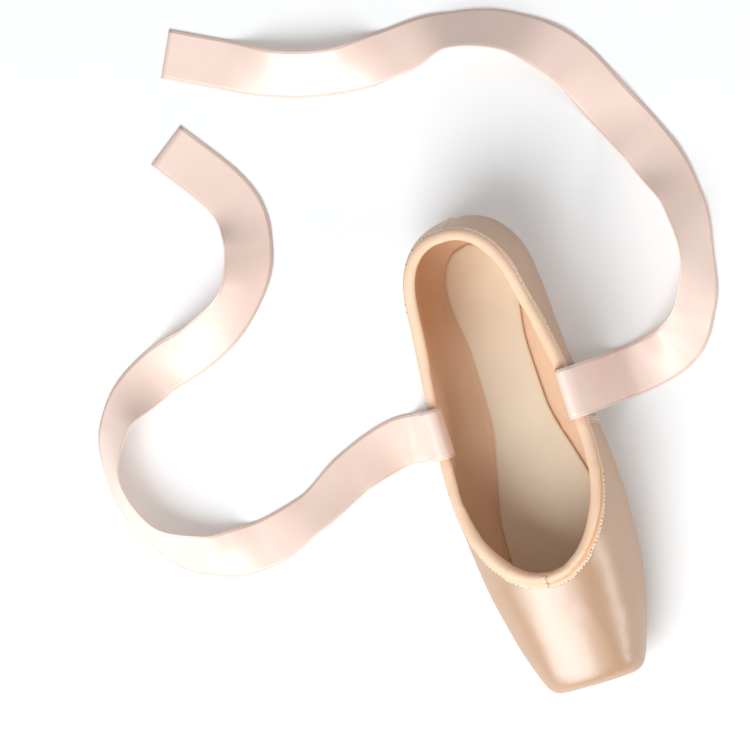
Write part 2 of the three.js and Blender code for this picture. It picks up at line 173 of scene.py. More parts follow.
def weave_group():
    """Woven cloth: fine slanting threads, long slubs and slow patches. Height and Tone vary round 0.5."""
    group, given, result = node_group(
        "weave", {"Threads": 500, "Slub": 0.5, "Patch": 60},
        {"Height": "NodeSocketFloat", "Tone": "NodeSocketFloat"})
    link = group.links.new
    place = node(group, "ShaderNodeTexCoord")
    twill = node(group, "ShaderNodeTexWave", wave_type="BANDS", bands_direction="DIAGONAL", Distortion=1.6,
                 Detail=2.0, Detail_Scale=0.6)
    fine = node(group, "ShaderNodeTexNoise", Scale=1500.0, Detail=1.0)
    slow = node(group, "ShaderNodeTexNoise", Detail=3.0)
    turned = node(group, "ShaderNodeMapping")
    turned.inputs["Rotation"].default_value = (0, 0, math.radians(90))
    link(place.outputs["Object"], turned.inputs["Vector"])
    link(turned.outputs["Vector"], twill.inputs["Vector"])
    link(given.outputs["Threads"], twill.inputs["Scale"])
    link(place.outputs["Object"], fine.inputs["Vector"])
    link(place.outputs["Object"], slow.inputs["Vector"])
    link(given.outputs["Patch"], slow.inputs["Scale"])
    mix = node(group, "ShaderNodeMix", data_type="FLOAT")
    link(given.outputs["Slub"], mix.inputs["Factor"])
    link(twill.outputs["Fac"], mix.inputs["A"])
    link(fine.outputs[0], mix.inputs["B"])
    link(mix.outputs[0], result.inputs["Height"])
    tone = math_node(group, "ADD", math_node(group, "MULTIPLY", slow.outputs[0], 0.7),
                     math_node(group, "MULTIPLY", mix.outputs[0], 0.3))
    link(tone, result.inputs["Tone"])
    return group


def scoring_group():
    """Two families of slanting cuts that make long diamonds. Cut is 1 in a cut."""
    group, given, result = node_group(
        "scoring", {"Wide": 0.0072, "Long": 0.0125, "Cut": 0.05}, {"Cut": "NodeSocketFloat"})
    place = node(group, "ShaderNodeTexCoord")
    split = node(group, "ShaderNodeSeparateXYZ")
    group.links.new(place.outputs["Object"], split.inputs[0])
    across = math_node(group, "DIVIDE", split.outputs["X"], given.outputs["Wide"])
    along = math_node(group, "DIVIDE", split.outputs["Y"], given.outputs["Long"])
    cuts = []
    for family in ("ADD", "SUBTRACT"):
        away = math_node(group, "PINGPONG", math_node(group, family, across, along), 0.5)
        near = node(group, "ShaderNodeMapRange", To_Min=1.0, To_Max=0.0)
        group.links.new(away, near.inputs["Value"])
        group.links.new(given.outputs["Cut"], near.inputs["From Max"])
        cuts.append(near.outputs["Result"])
    group.links.new(math_node(group, "MAXIMUM", *cuts), result.inputs["Cut"])
    return group


WEAVE = weave_group()
SCORING = scoring_group()


def cloth(name, light, dark, roughness, specular=0.5, ior=1.5, threads=500, slub=0.4, patch=60,
          relief=0.0001):
    """A woven material between two tones."""
    material = bpy.data.materials.new(name)
    material.use_nodes = True
    tree = material.node_tree
    shader = tree.nodes["Principled BSDF"]
    shader.inputs["Roughness"].default_value = roughness
    shader.inputs["Specular IOR Level"].default_value = specular
    shader.inputs["IOR"].default_value = ior
    weave = node(tree, "ShaderNodeGroup", node_tree=WEAVE)
    weave.inputs["Threads"].default_value = threads
    weave.inputs["Slub"].default_value = slub
    weave.inputs["Patch"].default_value = patch
    ramp = node(tree, "ShaderNodeMix", data_type="RGBA")
    ramp.inputs["A"].default_value = (*dark, 1)
    ramp.inputs["B"].default_value = (*light, 1)
    relief_node = node(tree, "ShaderNodeBump", Strength=1.0, Distance=relief)
    link = tree.links.new
    link(weave.outputs["Tone"], ramp.inputs["Factor"])
    link(ramp.outputs["Result"], shader.inputs["Base Color"])
    link(weave.outputs["Height"], relief_node.inputs["Height"])
    link(relief_node.outputs["Normal"], shader.inputs["Normal"])
    return material


def darker_where(material, mask, colour, relief):
    """Paints shade on a cloth where the mask is 1, as a darker colour, and sinks it there by relief metres.
    """
    tree = material.node_tree
    shader = tree.nodes["Principled BSDF"]
    base = shader.inputs["Base Color"].links[0].from_socket
    weave_relief = shader.inputs["Normal"].links[0].from_node
    mix = node(tree, "ShaderNodeMix", data_type="RGBA")
    mix.inputs["B"].default_value = (*colour, 1)
    tree.links.new(mask, mix.inputs["Factor"])
    tree.links.new(base, mix.inputs["A"])
    tree.links.new(mix.outputs["Result"], shader.inputs["Base Color"])
    sink = node(tree, "ShaderNodeBump", Strength=1.0, Distance=relief, invert=True)
    tree.links.new(mask, sink.inputs["Height"])
    tree.links.new(weave_relief.outputs["Normal"], sink.inputs["Normal"])
    tree.links.new(sink.outputs["Normal"], shader.inputs["Normal"])


def in_band(tree, socket, low, high, soft):
    """1 where a socket lies between low and high, with soft edges."""
    sides = []
    for edge, way in ((low, 1), (high, -1)):
        ramp = node(tree, "ShaderNodeMapRange", From_Min=edge - way * soft, From_Max=edge + way * soft)
        tree.links.new(socket, ramp.inputs["Value"])
        sides.append(ramp.outputs["Result"])
    return math_node(tree, "MULTIPLY", *sides)


satin = cloth("shoe_satin", (0.55, 0.328, 0.19), (0.465, 0.262, 0.14), 0.38, specular=1.0, ior=1.75,
              slub=0.68, relief=0.00006)
# A paler copy of the shoe satin for the raised seam bands: a painted highlight along their ridges.
seam_band_highlit_satin = cloth("seam_highlight_satin", (0.70, 0.47, 0.31), (0.62, 0.40, 0.25), 0.4, specular=1.0, ior=1.8, slub=0.4)
lining = cloth("lining", (0.84, 0.58, 0.40), (0.74, 0.49, 0.32), 0.9, threads=700, slub=0.7)
tape, plain_tape = (
    cloth(name, (0.96, 0.67, 0.48), (0.86, 0.57, 0.385), 0.6, specular=0.4, threads=650, slub=0.5)
    for name in ("binding_tape", "plain_tape"))
ribbon_satin = cloth("ribbon_satin", (1.0, 0.77, 0.67), (0.95, 0.71, 0.60), 0.38, specular=1.0, threads=650,
                     relief=0.00004)
suede = cloth("outsole_suede", (0.60, 0.37, 0.22), (0.44, 0.25, 0.14), 0.8, threads=900, slub=0.9, patch=110,
              relief=0.00015)
insole_cloth = cloth("insole_cloth", (0.86, 0.74, 0.58), (0.76, 0.63, 0.48), 0.9, threads=800, slub=0.6)
thread = cloth("pale_thread", (1.0, 0.95, 0.88), (0.92, 0.85, 0.76), 0.5, threads=1500)
# Painted shade: needle holes are drawn as small dark dots laid on the surface.
needle_hole_shade = cloth("needle_hole_shade", (0.30, 0.15, 0.08), (0.16, 0.07, 0.04), 0.8)


def score_suede_with_painted_shade():
    """The scoring under the ball of the foot: its cuts sunk, and painted darker as shade in them."""
    tree = suede.node_tree
    scored = node(tree, "ShaderNodeGroup", node_tree=SCORING)
    split = node(tree, "ShaderNodeSeparateXYZ")
    tree.links.new(node(tree, "ShaderNodeTexCoord").outputs["Object"], split.inputs[0])
    ball = in_band(tree, split.outputs["Y"], -0.089, -0.032, 0.002)
    inside = in_band(tree, split.outputs["X"], -0.0195, 0.0195, 0.0015)
    under = in_band(tree, split.outputs["Z"], -0.01, 0.001, 0.0002)
    mask = math_node(tree, "MULTIPLY", math_node(tree, "MULTIPLY", ball, inside), under)
    mask = math_node(tree, "MULTIPLY", scored.outputs["Cut"], mask)
    # painted shade: the scored cuts are coloured darker
    darker_where(suede, mask, (0.36, 0.20, 0.11), 0.0003)


def along_and_across(tree):
    """A piece's own map as two sockets: X along it and Y across it."""
    split = node(tree, "ShaderNodeSeparateXYZ")
    tree.links.new(node(tree, "ShaderNodeUVMap", uv_map="along").outputs["UV"], split.inputs[0])
    return split


def paint_ribbon_groove_shade():
    """The groove beside each selvedge: sunk, and painted a darker colour as shade in it."""
    tree = ribbon_satin.node_tree
    split = along_and_across(tree)
    from_middle = math_node(tree, "ABSOLUTE", math_node(tree, "SUBTRACT", split.outputs["Y"], 0.5))
    groove = in_band(tree, from_middle, 0.452, 0.464, 0.004)
    # painted shade: the groove beside each selvedge is coloured darker
    darker_where(ribbon_satin, groove, (0.74, 0.52, 0.43), 0.0001)


def paint_tape_groove_shade():
    """Painted shade: the groove between the binding's two ridges on the +X side of the throat, coloured
    darker orange and sunk a little.
    """
    tree = tape.node_tree
    split = along_and_across(tree)
    groove = math_node(tree, "MULTIPLY", in_band(tree, split.outputs["Y"], 0.175, 0.295, 0.03),
                       in_band(tree, split.outputs["X"], 0.53, 0.74, 0.03))
    # painted shade: the binding's groove is coloured darker orange
    darker_where(tape, groove, (0.80, 0.47, 0.27), 0.0002)


score_suede_with_painted_shade()
paint_ribbon_groove_shade()
paint_tape_groove_shade()

# ---- ribbons -------------------------------------------------------------------------------------

RIBBON = {"width": 25, "thickness": 0.5, "node_thickness": 0.8}

# Each row is a point of a ribbon's middle line, in millimetres: x, y in plan, the rise of its lower edge, and
# the degrees that its left edge is raised from lying flat.
OVER_THE_SIDE = [
    (33, 21, 26, 0), (32.4, 21, 34, 0), (30.6, 21, 41, 0), (31.4, 21, 46, 0), (35.4, 21, 47.4, 0),
    (39.6, 21, 44.4, 0), (41.2, 21, 36, 0), (42.4, 21, 24, 0), (45.5, 21, 10, 0), (53, 21.5, 1.5, 0),
]
RIBBON_RIGHT = OVER_THE_SIDE + [
    (66, 22.5, 0, 4), (84, 27, 0, 22), (99, 42, 0, 46), (108, 66, 0, 58), (109, 94, 0, 44),
    (100, 122, 0, 14), (87, 149, 0, -2), (74, 176, 0, 14), (53, 197, 0, 40), (25, 207, 0, 44),
    (-6, 206, 0, 8), (-36, 206, 0, -26), (-65, 214, 0, -22), (-92, 228, 0, 0), (-118, 242, 0, 0),
]
RIBBON_LEFT = [(-x, y, rise, tilt) for x, y, rise, tilt in OVER_THE_SIDE] + [
    (-66, 22, 0, 2), (-90, 15, 0, 18), (-116, 2, 0, 30), (-146, -6, 0, 6), (-176, -2, 0, -34),
    (-199, 17, 0, -58), (-208, 46, 0, -60), (-199, 74, 0, -40), (-174, 91, 0, -4), (-144, 99, 0, 26),
    (-119, 113, 0, 44), (-106, 136, 0, 30), (-108, 163, 0, 6), (-132, 199, 0, 0),
]


def ribbon_lift(tilt):
    return RIBBON["width"] / 2 * abs(math.sin(tilt)) + RIBBON["node_thickness"] / 2 + 0.05


def catmull_rom(points, at):
    """The point and the tangent at a place, in rows, along a smooth line through the points."""
    i = min(int(at), len(points) - 2)
    s = at - i
    b, c = points[i], points[i + 1]
    a = points[i - 1] if i else b * 2 - c
    d = points[i + 2] if i + 2 < len(points) else c * 2 - b
    once, twice, thrice = c - a, a * 2 - b * 5 + c * 4 - d, b * 3 - a - c * 3 + d
    place = (b * 2 + once * s + twice * s * s + thrice * s ** 3) * 0.5
    way = (once + twice * 2 * s + thrice * 3 * s * s) * 0.5
    return place, way.normalized()


def ribbon_frame(rows, at):
    """Middle point, direction across and face normal of a ribbon, at a place in rows."""
    leans = [math.radians(row[3]) for row in rows]
    points = [Vector((x, y, rise + ribbon_lift(lean))) for (x, y, rise, _), lean in zip(rows, leans)]
    row = min(int(at), len(rows) - 2)
    tilt = lerp(leans[row], leans[row + 1], smoothstep(0, 1, at - row))
    middle, way = catmull_rom(points, at)
    middle.z = max(middle.z, ribbon_lift(tilt))
    if row < len(OVER_THE_SIDE) - 1:
        heading = Vector((math.copysign(1, rows[0][0]), 0, 0))
    else:
        heading = Vector((way.x, way.y, 0)).normalized()
    across = Vector((-heading.y, heading.x, 0)) * math.cos(tilt) + Vector((0, 0, math.sin(tilt)))
    across = (across - way * across.dot(way)).normalized()
    return middle, across, way.cross(across)


def add_ribbon(name, rows):
    steps = 12 * (len(rows) - 1)
    frames = [ribbon_frame(rows, i * (len(rows) - 1) / steps) for i in range(steps + 1)]

    def place(u, v):
        middle, across, face = frames[round(u * steps)]
        return (middle + across * (v - 0.5) * RIBBON["width"] + face * RIBBON["thickness"] / 2) * MM

    bm = grid(steps, 12, place)
    bmesh.ops.solidify(bm, geom=bm.faces[:], thickness=RIBBON["thickness"] * MM)
    piece = finished(bm, name + "_satin", [ribbon_satin], [name])
    path = [middle * MM for middle, _, _ in frames]
    length = sum((b - a).length for a, b in zip(path, path[1:]))
    print(name, "length", round(length, 4))
    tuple(path[0])
    return piece


add_ribbon("ribbon_right", RIBBON_RIGHT)
add_ribbon("ribbon_left", RIBBON_LEFT)

# ---- the shoe's skin: places on it, as a turn round the shoe and a depth below its collar --------

FAN = (-27, 79)  # the y between which the ribs stand square to the shoe
FAN_ARM = (50, 30)  # turn for each radian round the toe and round the heel
RIB_HEIGHT = 21
SIDE_START = FAN_ARM[0] * math.pi / 2
SIDE_END = SIDE_START + FAN[1] - FAN[0]
HEEL_TURN = SIDE_END + FAN_ARM[1] * math.pi / 2


def rib_at(turn):
    """Foot and outward way of the rib at a turn: 0 at the toe, HEEL_TURN at the heel, less than 0 by -X."""
    size = min(abs(turn), HEEL_TURN)
    if size < SIDE_START:
        angle = size / FAN_ARM[0]
        foot, way = FAN[0], (math.sin(angle), -math.cos(angle))
    elif size < SIDE_END:
        foot, way = FAN[0] + size - SIDE_START, (1, 0)
    else:
        angle = (size - SIDE_END) / FAN_ARM[1]
        foot, way = FAN[1], (math.cos(angle), math.sin(angle))
    return Vector((0, foot, RIB_HEIGHT)) * MM, Vector((math.copysign(1, turn) * way[0], way[1], 0))


def turn_of(point):
    x, y = abs(point.x) / MM, point.y / MM
    if y < FAN[0]:
        size = FAN_ARM[0] * math.atan2(x, FAN[0] - y)
    elif y > FAN[1]:
        size = SIDE_END + FAN_ARM[1] * math.atan2(y - FAN[1], x)
    else:
        size = SIDE_START + y - FAN[0]
    return math.copysign(size, point.x)


def side_turn(y):
    """The turn of a place on the +X side, from its y."""
    return SIDE_START + y - FAN[0]


class Skin:
    """The outside of some meshes, measured down its ribs. Turns and depths are in millimetres."""

    RIBS = 360
    STEPS = 130
    LOWEST = math.radians(-82)
    STEEPEST = math.radians(88)
    HALVINGS = 22  # of the angle, to find the collar's edge
    REACH = 0.2

    def __init__(self, meshes):
        self.trees = [BVHTree.FromBMesh(bm) for bm in meshes]
        self.ribs = [self.measured(HEEL_TURN * (2 * i / self.RIBS - 1)) for i in range(self.RIBS + 1)]

    def hit(self, foot, way, angle):
        ray = way * math.cos(angle) + Vector((0, 0, math.sin(angle)))
        found = [tree.ray_cast(foot + ray * self.REACH, -ray, self.REACH) for tree in self.trees]
        found = [(away, point, normal) for point, normal, _, away in found if point is not None]
        return min(found, key=lambda one: one[0])[1:] if found else None

    def measured(self, turn):
        foot, way = rib_at(turn)
        low, high = 0, self.STEEPEST
        for _ in range(self.HALVINGS):
            middle = (low + high) / 2
            if self.hit(foot, way, middle):
                low = middle
            else:
                high = middle
        angles, depths, points, normals = [], [], [], []
        for i in range(self.STEPS + 1):
            angle = low + (self.LOWEST - low) * (i / self.STEPS) ** 1.3
            place = self.hit(foot, way, angle)
            if place is None:
                continue
            depths.append(depths[-1] + (place[0] - points[-1]).length / MM if points else 0)
            angles.append(angle)
            points.append(place[0])
            normals.append(place[1])
        return angles, depths, points, normals

    def down(self, rib, depth):
        """Point and normal at a depth down one measured rib."""
        _, depths, points, normals = self.ribs[rib]
        i = min(max(bisect_left(depths, depth), 1), len(depths) - 1)
        share = (depth - depths[i - 1]) / max(depths[i] - depths[i - 1], 1e-9)
        share = min(max(share, 0), 1)
        return points[i - 1].lerp(points[i], share), normals[i - 1].lerp(normals[i], share)

    def nearest(self, turn):
        """The measured rib nearest to a turn."""
        return self.ribs[round((turn / HEEL_TURN + 1) / 2 * self.RIBS)]

    def length(self, turn):
        """How far the skin reaches below the collar."""
        return self.nearest(turn)[1][-1]

    def place(self, turn, depth):
        at = (min(max(turn / HEEL_TURN, -1), 1) + 1) / 2 * self.RIBS
        i = min(int(at), self.RIBS - 1)
        a, b = self.down(i, depth), self.down(i + 1, depth)
        return a[0].lerp(b[0], at - i), a[1].lerp(b[1], at - i).normalized()

    def across(self, turn, depth, reach=2.5):
        """The outward normal averaged over a patch of the skin, reach mm each way."""
        ahead, _ = self.place(turn + reach, depth)
        behind, _ = self.place(turn - reach, depth)
        above, _ = self.place(turn, max(depth - reach, 0.15))
        below, _ = self.place(turn, depth + reach)
        return (below - above).cross(ahead - behind).normalized()

    def depth_of(self, point):
        """How far a point of the skin lies below the collar."""
        turn = turn_of(point)
        foot, way = rib_at(turn)
        angle = math.atan2(point.z - foot.z, (point - foot).dot(way))
        angles, depths, _, _ = self.nearest(turn)
        i = min(max(bisect_left([-one for one in angles], -angle), 1), len(angles) - 1)
        share = (angles[i - 1] - angle) / (angles[i - 1] - angles[i])
        return lerp(depths[i - 1], depths[i], min(max(share, 0), 1))


def along_line(line, count=600):
    """A walk on a line of (point, normal): its places, and how far along it each lies in mm."""
    places = [line(i / count) for i in range(count + 1)]
    travelled = [0]
    for a, b in zip(places, places[1:]):
        travelled.append(travelled[-1] + (b[0] - a[0]).length / MM)
    return places, travelled


def spaced(line, spacing):
    """Point, normal and heading every spacing mm along a line."""
    places, travelled = along_line(line)
    found = []
    count = int(travelled[-1] / spacing)
    for k in range(count):
        at = (k + 0.5) * travelled[-1] / count
        i = min(max(bisect_left(travelled, at), 1), len(travelled) - 1)
        a, b = places[i - 1], places[i]
        found.append((a[0].lerp(b[0], 0.5), a[1].lerp(b[1], 0.5).normalized(), (b[0] - a[0]).normalized()))
    return found


def sew(bm, places, size, lift=0.0, angle=0.0, zigzag=False):
    """A small thread, or a painted hole-shade dot, at each place. size is its length, width and height in mm,
    angle its slant.
    """
    for k, (point, normal, heading) in enumerate(places):
        side = normal.cross(heading).normalized()
        heading = side.cross(normal)
        slant = math.radians(angle if not zigzag or k % 2 else -angle)
        along = heading * math.cos(slant) + side * math.sin(slant)
        beside = normal.cross(along)
        axes = Matrix((along * size[0], beside * size[1], normal * size[2])).transposed() * MM
        where = Matrix.Translation(point + normal * lift * MM) @ axes.to_4x4()
        bmesh.ops.create_uvsphere(bm, u_segments=6, v_segments=4, radius=0.5, matrix=where)


def patch(risen, along, across, sunken, bm=None):
    """A piece sewn on the skin. risen(u, v) gives a point of the skin, its normal and the piece's rise in mm.

    Its rim and its back lie sunken mm under the skin."""
    for top in (True, False):
        def place(u, v, top=top):
            point, normal, rise = risen(u, v)
            rim = min(u, 1 - u, v, 1 - v) < 1e-4
            return point + normal * (rise if top and not rim else -sunken) * MM

        bm = grid(along, across, place, bm)
    return bm


def strip(line_at, width, rise, along, across=8, sunken=0.5, bm=None):
    """A band whose line_at(u, offset) lies on the skin, risen by rise(v) mm."""
    return patch(lambda u, v: (*line_at(u, (v - 0.5) * width), rise(v)), along, across, sunken, bm)


# ---- the upper -----------------------------------------------------------------------------------


def fine_copy(name, levels):
    """A bmesh of a node, welded, with pairs of triangles made four-sided again, and subdivided."""
    bm = bmesh.new()
    bm.from_mesh(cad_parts[name].data)
    bmesh.ops.remove_doubles(bm, verts=bm.verts[:], dist=1e-6)
    longest = {face: max(face.edges, key=lambda edge: edge.calc_length()) for face in bm.faces}
    diagonals = [edge for edge in bm.edges
                 if len(edge.link_faces) == 2 and all(longest[face] is edge for face in edge.link_faces)]
    bmesh.ops.dissolve_edges(bm, edges=diagonals, use_verts=False)
    mesh = bpy.data.meshes.new("fine")
    bm.to_mesh(mesh)
    bm.free()
    holder = bpy.data.objects.new("fine", mesh)
    scene.collection.objects.link(holder)
    modifier = holder.modifiers.new("fine", "SUBSURF")
    modifier.levels = modifier.render_levels = levels
    result = bmesh.new()
    result.from_object(holder, bpy.context.evaluated_depsgraph_get())
    bpy.data.objects.remove(holder)
    bpy.data.meshes.remove(mesh)
    result.normal_update()
    return result


def faces_out(item, normal):
    """Whether a face or a corner of the upper belongs to its outside."""
    foot = Vector((0, min(max(item.y, FAN[0] * MM), FAN[1] * MM), RIB_HEIGHT * MM))
    return normal.dot(item - foot) > 0


# Creases of the satin: points of the line in millimetres on the +X side (-X where side is -1, both where it
# is 0), depth (less than 0 for a ridge) and half width.
CREASES = [
    # the pleats drawn in under the toe, each a ridge with a fold beside it
    {"side": 1, "line": [(5, -101, 4.6), (13, -110, 6.6), (19, -118, 10.5)],
     "depth": -1.08, "width": 0.92},
    {"side": 1, "line": [(7, -100, 4.6), (15, -108.6, 6.6), (21.5, -117, 10.5)],
     "depth": 1.16, "width": 1.03},
    {"side": 1, "line": [(12, -97.5, 4.4), (20, -107, 7), (27, -113, 12)],
     "depth": -1.08, "width": 0.92},
    {"side": 1, "line": [(14, -96.5, 4.4), (22.3, -105, 7.2), (29, -111, 12.6)],
     "depth": 1.16, "width": 1.03},
    {"side": 1, "line": [(18, -92, 4), (27, -100, 8), (33, -103.5, 14)], "depth": -0.85, "width": 1.15},
    {"side": 1, "line": [(19.6, -90.5, 4), (29, -98, 8.4), (34, -101, 15)],
     "depth": 0.93, "width": 1.38},
    {"side": -1, "line": [(3, -101, 4.6), (9, -110, 6.4), (13, -118.5, 10.5)],
     "depth": -0.93, "width": 0.92},
    {"side": -1, "line": [(5, -100.5, 4.6), (11.2, -109.5, 6.5), (15.6, -118, 10.5)],
     "depth": 1.01, "width": 1.03},
    {"side": -1, "line": [(11, -98, 4.4), (19, -107.5, 7), (25, -114.5, 11.5)],
     "depth": -1.08, "width": 0.92},
    {"side": -1, "line": [(13, -97, 4.4), (21.2, -106, 7.2), (27.5, -112.5, 12.3)],
     "depth": 1.16, "width": 1.03},
    {"side": -1, "line": [(18.5, -91.5, 4), (27, -99.6, 8), (32, -104, 14)],
     "depth": -0.78, "width": 1.15},
    {"side": -1, "line": [(20, -90, 4), (29, -97.6, 8.4), (33.4, -101.4, 15)],
     "depth": 0.85, "width": 1.38},
    # the wrinkle across the wing of the box
    {"side": 0, "line": [(27, -77, 4.5), (33, -75, 8), (36.5, -73, 14), (37.2, -68, 20)],
     "depth": 0.55, "width": 1.3},
    {"side": 0, "line": [(28, -79.5, 4.5), (33.5, -77.6, 8), (36.3, -75.6, 14)],
     "depth": -0.4, "width": 1.3},
    {"side": 1, "line": [(39.4, -44, 12), (40.3, -34, 20), (39.6, -22, 26)],
     "depth": 0.35, "width": 3.5},
    {"side": -1, "line": [(39.6, -48, 14), (40.2, -38, 21), (39.4, -24, 28)],
     "depth": 0.35, "width": 3.5},
    # the waist, where the shoe has bent
    {"side": 1, "line": [(26, 16, 6), (34, 20, 12), (38, 27, 21)], "depth": 0.5, "width": 3.2},
    {"side": 1, "line": [(25, 27, 6), (33, 33, 13), (36.5, 42, 22)], "depth": 0.45, "width": 3.0},
    {"side": -1, "line": [(25, 20, 6), (34, 25, 13), (37.6, 33, 23)], "depth": 0.5, "width": 3.4},
    {"side": -1, "line": [(24, 34, 6), (32, 41, 13), (35.4, 50, 21)], "depth": 0.4, "width": 3.0},
    # the heel
    {"side": 1, "line": [(15, 113, 12), (21, 108, 17), (28, 97, 19), (31.5, 82, 17)],
     "depth": 0.55, "width": 2.4},
    {"side": 1, "line": [(12, 114.5, 26), (20, 110, 29), (27, 101, 30)], "depth": 0.35, "width": 2.4},
    {"side": -1, "line": [(13, 114.5, 10), (21, 108.5, 14), (28, 98, 16), (31.6, 84, 13)],
     "depth": 0.55, "width": 2.4},
    {"side": -1, "line": [(11, 115, 22), (18, 111.5, 25), (25.5, 103.5, 25)],
     "depth": 0.4, "width": 2.2},
    {"side": 0, "line": [(19, 104, 4.5), (24, 104.5, 8), (25, 104, 13)], "depth": 0.35, "width": 1.6},
    {"side": 0, "line": [(21.5, 92, 4), (27.5, 92, 8), (30, 91, 14)], "depth": 0.35, "width": 1.8},
]


def crease_lines():
    """Each crease on the sides that it is on: box, points, depth and half width, in metres."""
    lines = []
    for crease in CREASES:
        for side in (crease["side"],) if crease["side"] else (1, -1):
            points = [Vector((side * x, y, z)) * MM for x, y, z in crease["line"]]
            reach = 2.4 * crease["width"] * MM
            low = [min(p[i] for p in points) - reach for i in range(3)]
            high = [max(p[i] for p in points) + reach for i in range(3)]
            lines.append((low, high, points, crease["depth"] * MM, crease["width"] * MM))
    return lines


def sunk(point, lines):
    """How far the creases sink a point."""
    depth = 0
    for low, high, points, most, width in lines:
        if not all(low[i] < point[i] < high[i] for i in range(3)):
            continue
        away = min((point - a.lerp(b, min(max((point - a).dot(b - a) / (b - a).length_squared, 0), 1))).length
                   for a, b in zip(points, points[1:]))
        depth += most * math.exp(-(away / width) ** 2)
    return depth


SIDE_SEAM = {"top": side_turn(7), "foot": side_turn(-0.5), "width": 4.6}

# What is left of a hand-made shoe's unevenness, in millimetres.
LINING_SEAM = {"rise": 0.5, "half_width": 3.5}
LINING_UNEVENNESS = 0.25
SATIN_UNEVENNESS = {"broad": 0.22, "fine": 0.1, "gathers": 0.16}
SEAM_HOLLOW = {"side": 0.25, "back": 0.5}


def seam_turn(depth, length=62):
    return lerp(SIDE_SEAM["top"], SIDE_SEAM["foot"], min(depth / length, 1))


def add_upper():
    bm = fine_copy("upper", 2)
    outer = [face for face in bm.faces if faces_out(face.calc_center_median(), face.normal)]
    under_toe = {edge for face in outer for edge in face.edges
                 if all(vert.co.y < -0.083 and vert.co.z < 0.0165 for vert in face.verts)}
    bmesh.ops.subdivide_edges(bm, edges=list(under_toe), cuts=2, use_grid_fill=True)
    bm.normal_update()
    skin = Skin([bm])
    lines = crease_lines()
    moves = []
    for vert in bm.verts:
        turn = turn_of(vert.co)
        if not faces_out(vert.co, vert.normal):
            seams = (seam_turn(20), HEEL_TURN)
            seam = max(bump(abs(turn), middle, LINING_SEAM["half_width"]) for middle in seams)
            unevenness = LINING_UNEVENNESS * noise.noise(vert.co * 60)
            moves.append(vert.normal * (LINING_SEAM["rise"] * seam + unevenness) * MM)
            continue
        depth = skin.depth_of(vert.co)
        under_band = smoothstep(5, 8, depth)
        move = -sunk(vert.co, lines)
        move += SATIN_UNEVENNESS["broad"] * MM * noise.noise(vert.co * 55)
        move += SATIN_UNEVENNESS["fine"] * MM * noise.noise(vert.co * 140)
        ends = max(smoothstep(95, 60, abs(turn)), smoothstep(SIDE_END - 8, SIDE_END + 8, abs(turn)))
        gather = ends * smoothstep(11, 5, vert.co.z / MM)
        gather *= noise.noise(Vector((turn * 0.42, depth * 0.05, 3)))
        move += SATIN_UNEVENNESS["gathers"] * MM * gather
        move -= SEAM_HOLLOW["side"] * MM * bump(abs(turn), seam_turn(depth) - 3, 2.2)
        move -= SEAM_HOLLOW["back"] * MM * bump(abs(turn), HEEL_TURN - 2.2, 2.4) * (turn > 0)
        moves.append(vert.normal * move * under_band)
    for vert, move in zip(bm.verts, moves):
        vert.co += move
    bm.normal_update()
    for face in bm.faces:
        face.material_index = 0 if faces_out(face.calc_center_median(), face.normal) else 1
    shape = bm.copy()
    finished(bm, "upper_satin", [satin, lining], ["upper"])
    return shape


upper_shape = add_upper()
upper_skin = Skin([upper_shape])

# ---- the binding ---------------------------------------------------------------------------------

# The binding's section. down: distance below the upper's edge, less than 0 above it; out: distance out from
# the upper's outside, or past its inside where inner is 1; groove: depth of the groove on the +X side.
BINDING = [
    {"down": 6.0, "out": 0.3, "inner": 0, "groove": 0},
    {"down": 6.15, "out": 0.5, "inner": 0, "groove": 0},
    {"down": 6.0, "out": 0.76, "inner": 0, "groove": 0},
    {"down": 5.5, "out": 0.98, "inner": 0, "groove": 0},
    {"down": 4.8, "out": 1.12, "inner": 0, "groove": -0.1},
    {"down": 4.1, "out": 1.2, "inner": 0, "groove": -0.05},
    {"down": 3.6, "out": 1.2, "inner": 0, "groove": 0.35},
    {"down": 3.1, "out": 1.2, "inner": 0, "groove": 0.8},
    {"down": 2.6, "out": 1.22, "inner": 0, "groove": 0.8},
    {"down": 2.1, "out": 1.3, "inner": 0, "groove": 0.25},
    {"down": 1.5, "out": 1.4, "inner": 0, "groove": -0.25},
    {"down": 0.8, "out": 1.42, "inner": 0, "groove": -0.4},
    {"down": 0.0, "out": 1.25, "inner": 0, "groove": -0.3},
    {"down": -0.8, "out": 0.7, "inner": 0, "groove": -0.1},
    {"down": -1.3, "out": -0.2, "inner": 0, "groove": 0},
    {"down": -1.4, "out": -0.9, "inner": 0, "groove": 0},
    {"down": -1.2, "out": 0.0, "inner": 1, "groove": 0},
    {"down": -0.5, "out": 0.65, "inner": 1, "groove": 0},
    {"down": 0.6, "out": 1.0, "inner": 1, "groove": 0},
    {"down": 2.2, "out": 1.05, "inner": 1, "groove": 0},
    {"down": 4.2, "out": 0.95, "inner": 1, "groove": 0},
    {"down": 5.4, "out": 0.8, "inner": 1, "groove": 0},
    {"down": 6.0, "out": 0.55, "inner": 1, "groove": 0},
    {"down": 5.9, "out": 0.3, "inner": 1, "groove": 0},
    {"down": 3.0, "out": 0.3, "inner": 1, "groove": 0},
    {"down": 0, "out": 0.3, "inner": 1, "groove": 0},
    {"down": -0.3, "out": 0.2, "inner": 1, "groove": 0},
    {"down": -0.3, "out": 0.2, "inner": 0, "groove": 0},
    {"down": 0, "out": 0.3, "inner": 0, "groove": 0},
    {"down": 3.0, "out": 0.3, "inner": 0, "groove": 0},
]


def wall(turn):
    """The upper's thickness at its edge: more at the throat than along the quarters."""
    return lerp(3.0, 2.0, smoothstep(30, SIDE_START + 10, abs(turn)))


